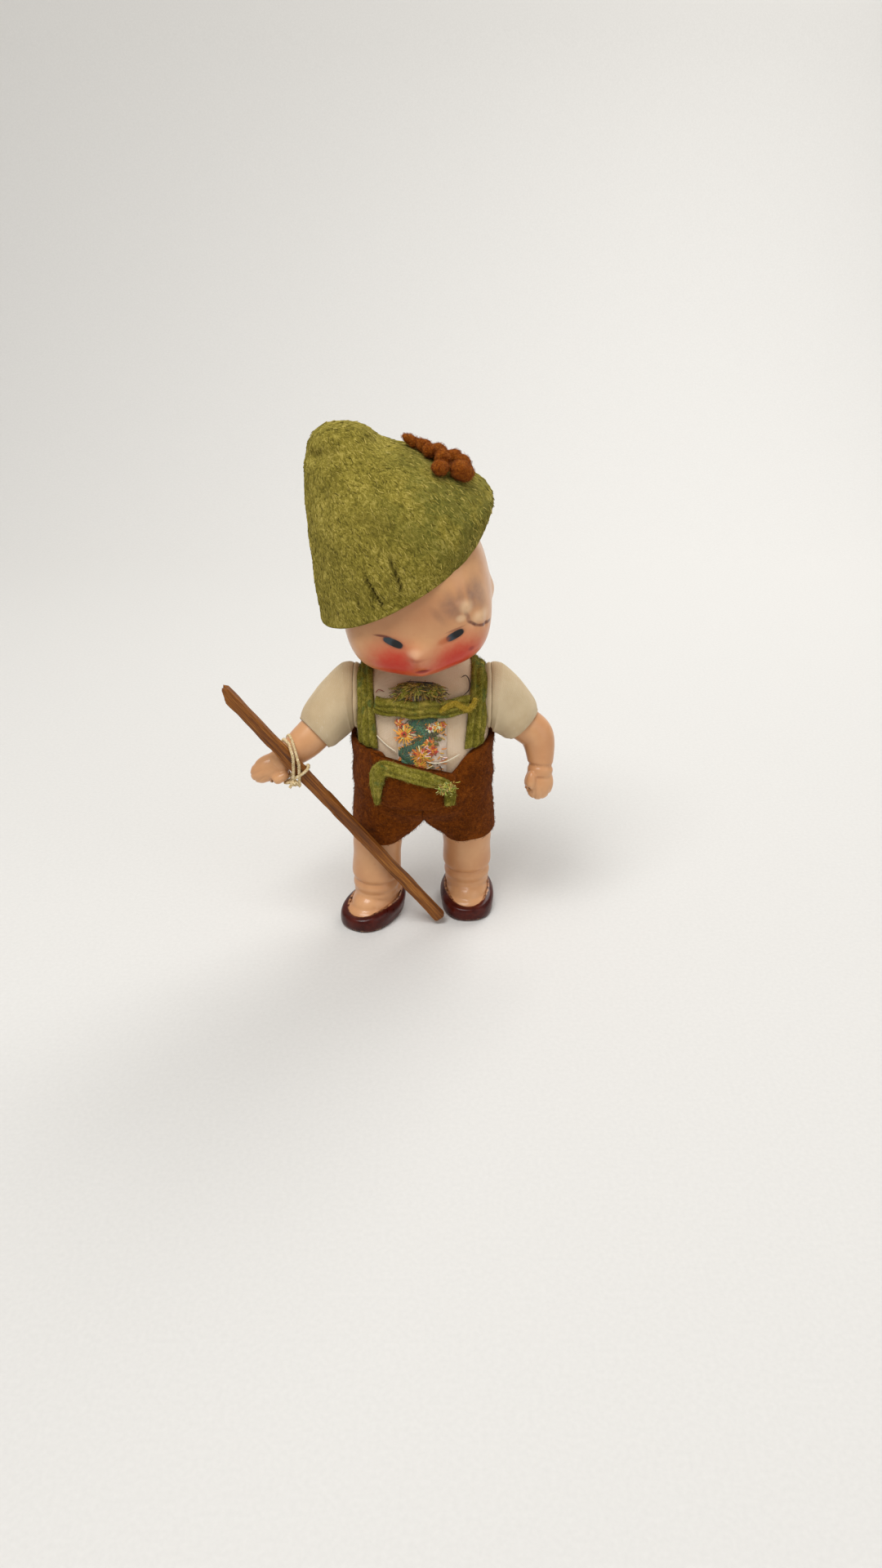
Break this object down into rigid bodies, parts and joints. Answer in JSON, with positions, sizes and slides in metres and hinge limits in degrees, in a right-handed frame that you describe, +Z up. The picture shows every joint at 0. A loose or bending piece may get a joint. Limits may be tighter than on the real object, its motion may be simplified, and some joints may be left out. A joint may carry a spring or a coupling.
{
  "type": "folk costume doll",
  "caption": "Strung standing boy doll in folk costume: leaning felt hat, shirt, felt braces and shorts with a fall flap, and a walking stick lashed to one wrist.",
  "frame": {"origin": "on the floor under the middle of the whole outline, stick included", "axes": "+Z up, the doll faces -Y and its own left is +X"},
  "size_m": [0.0942, 0.0472, 0.1503],
  "materials": {
    "painted_composition": "flesh paint on moulded composition, lightly varnished",
    "hat_felt": "thick moss green wool felt",
    "green_felt": "olive green wool felt",
    "brown_felt": "rust brown wool felt",
    "tuft_felt": "curled red-brown felt",
    "shirt_cloth": "plain cream cotton",
    "embroidery": "cotton braid worked in coloured silks",
    "split_wood": "split stained softwood",
    "tie_string": "twisted cotton string",
    "elastic_cord": "white covered elastic",
    "beech_wood": "turned beech, unfinished"
  },
  "bodies": {
    "torso": {"torso": "painted_composition", "arm_elastic": "elastic_cord", "leg_elastic": "elastic_cord", "head_elastic": "elastic_cord", "shirt": "shirt_cloth", "embroidered_braid": "embroidery", "neck_bow": "green_felt", "shorts_left_half": "brown_felt", "shorts_right_half": "brown_felt", "flap_panel": "brown_felt", "flap_trim": "green_felt", "brace_left": "green_felt", "brace_right": "green_felt", "chest_bar": "green_felt"},
    "head": {"head": "painted_composition", "neck_button": "beech_wood", "hat": "hat_felt", "hat_tuft": "tuft_felt"},
    "arm_left": {"arm_left": "painted_composition", "sleeve_left": "shirt_cloth"},
    "arm_right": {"arm_right": "painted_composition", "sleeve_right": "shirt_cloth", "walking_stick": "split_wood", "stick_tie": "tie_string"},
    "leg_left": {"leg_left": "painted_composition"},
    "leg_right": {"leg_right": "painted_composition"}
  },
  "joints": [
    {"name": "head_turn", "type": "hinge", "parent": "torso", "child": "head", "pos_m": [0.00808, 0, 0.0874], "axis": [0, 0, 1], "range_deg": [-55, 55]},
    {"name": "shoulder_left", "type": "hinge", "parent": "torso", "child": "arm_left", "pos_m": [0.0283, 0, 0.0725], "axis": [-1, 0, 0], "range_deg": [-45, 90]},
    {"name": "shoulder_right", "type": "hinge", "parent": "torso", "child": "arm_right", "pos_m": [-0.0122, 0, 0.0725], "axis": [-1, 0, 0], "range_deg": [0, 75]},
    {"name": "hip_left", "type": "hinge", "parent": "torso", "child": "leg_left", "pos_m": [0.0213, 0, 0.044], "axis": [-1, 0, 0], "range_deg": [-25, 0], "deforming": ["shorts_left_half"]},
    {"name": "hip_right", "type": "hinge", "parent": "torso", "child": "leg_right", "pos_m": [-0.0051, 0, 0.044], "axis": [-1, 0, 0], "range_deg": [-25, 0], "deforming": ["shorts_right_half"]}
  ]
}
